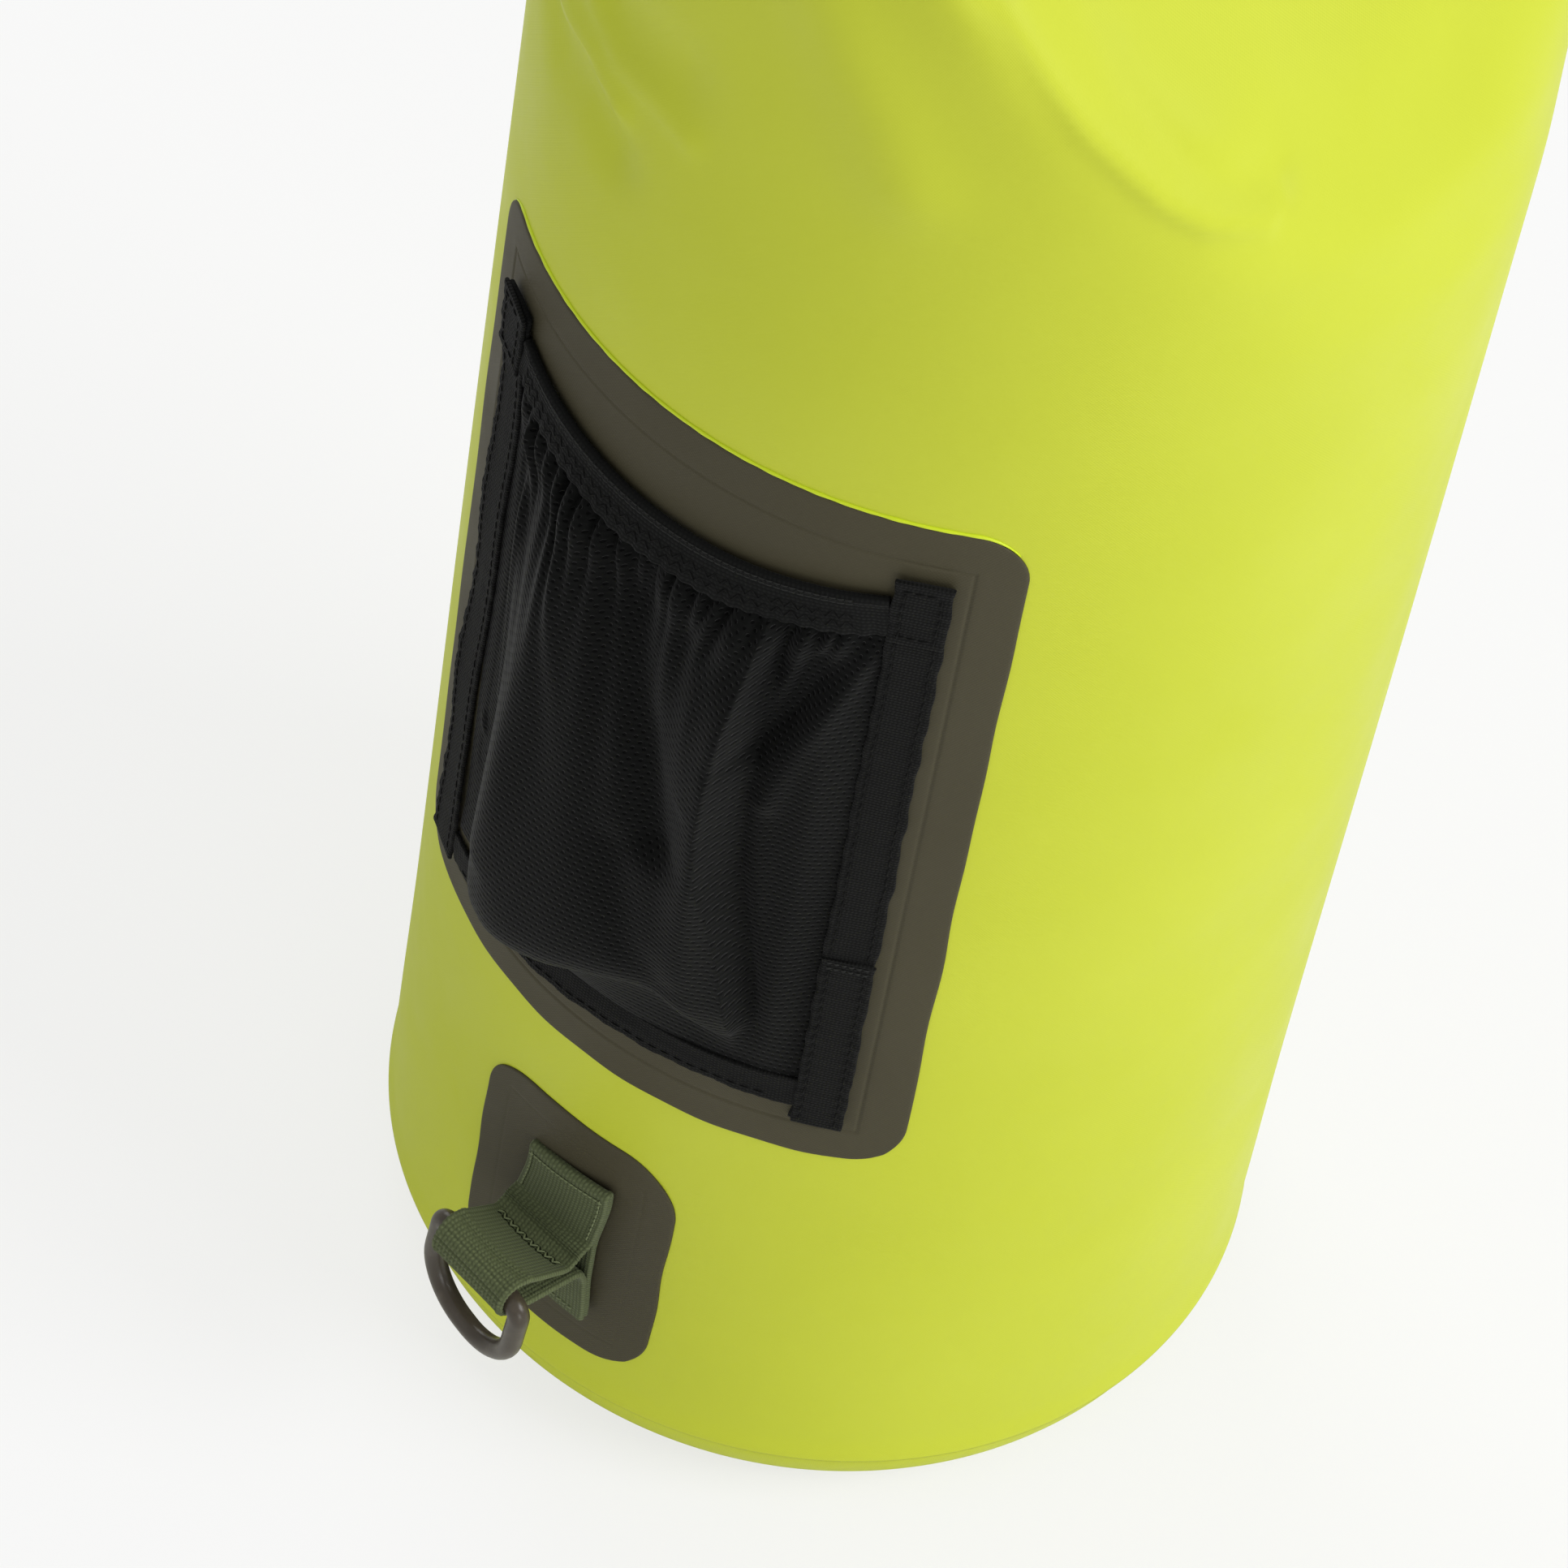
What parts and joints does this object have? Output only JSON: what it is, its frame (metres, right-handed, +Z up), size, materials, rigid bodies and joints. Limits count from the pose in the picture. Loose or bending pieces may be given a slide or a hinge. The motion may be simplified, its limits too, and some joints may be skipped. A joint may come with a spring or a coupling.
{
  "type": "stuff sack",
  "caption": "Upright roll-top dry sack with a mesh side pocket, a webbing tab with a D-ring, and rolled ends buckled into a carrying handle.",
  "frame": {"origin": "centre of the base panel, on the surface the sack stands on", "axes": "+Z up; X along the rolled closure; the front faces -Y and the pocket and D-ring face -X"},
  "size_m": [0.2531, 0.2209, 0.6896],
  "materials": {
    "lime_fabric": "satin coated",
    "base_fabric": "satin coated",
    "patch": "matt coated",
    "mesh": "open knit",
    "elastic": "woven",
    "binding": "grosgrain",
    "webbing": "woven",
    "ring": "moulded",
    "buckle": "moulded",
    "stiffener": "extruded"
  },
  "bodies": {
    "bag": {"body_shell": "lime_fabric", "base_panel": "base_fabric", "back_seam": "lime_fabric", "pocket_patch": "patch", "lower_patch": "patch", "pocket_mesh": "mesh", "pocket_elastic": "elastic", "binding_left": "binding", "binding_right": "binding", "binding_bottom": "binding", "binding_fold_left": "binding", "binding_fold_right": "binding", "binding_splice": "binding", "tab_base": "webbing", "neck_roll": "lime_fabric", "stiffener": "stiffener", "upper_tab_base": "webbing", "upper_tab_loop": "webbing"},
    "tab": {"tab_loop": "webbing"},
    "lower_ring": {"lower_ring": "ring"},
    "upper_ring": {"upper_ring": "ring"},
    "handle": {"buckle_socket": "buckle", "handle_webbing_left": "webbing", "handle_webbing_right": "webbing"},
    "plug": {"buckle_plug": "buckle"},
    "arm_left": {"latch_arm_left": "buckle"},
    "arm_right": {"latch_arm_right": "buckle"}
  },
  "joints": [
    {"name": "tab_flap", "type": "hinge", "parent": "bag", "child": "tab", "pos_m": [-0.11488, 0, 0.0775], "axis": [-0.0872, -0.9962, 0], "range_deg": [-35, 35], "stiffness_Nm_per_rad": 0.02},
    {"name": "lower_ring_swing", "type": "hinge", "parent": "tab", "child": "lower_ring", "pos_m": [-0.13688, 0.00192, 0.08554], "axis": [0.0872, 0.9962, 0], "range_deg": [-40, 170]},
    {"name": "upper_ring_swing", "type": "hinge", "parent": "bag", "child": "upper_ring", "pos_m": [-0.12418, 0, 0.62195], "axis": [0, 1, 0], "range_deg": [-18, 150]},
    {"name": "handle_swing", "type": "hinge", "parent": "bag", "child": "handle", "pos_m": [0, 0, 0.65462], "axis": [1, 0, 0], "range_deg": [-25, 25], "stiffness_Nm_per_rad": 0.08, "deforming": ["handle_webbing_left", "handle_webbing_right"]},
    {"name": "buckle_release", "type": "slide", "parent": "handle", "child": "plug", "axis": [1, 0, 0], "range_m": [0, 0.024], "deforming": ["latch_arm_left", "latch_arm_right", "handle_webbing_right"]},
    {"name": "latch_left", "type": "hinge", "parent": "plug", "child": "arm_left", "pos_m": [0.0078, 0.0095, 0.68462], "axis": [0, 0, 1], "range_deg": [0, 12], "stiffness_Nm_per_rad": 0.3},
    {"name": "latch_right", "type": "hinge", "parent": "plug", "child": "arm_right", "pos_m": [0.0078, -0.0095, 0.68462], "axis": [0, 0, -1], "range_deg": [0, 12], "stiffness_Nm_per_rad": 0.3}
  ]
}
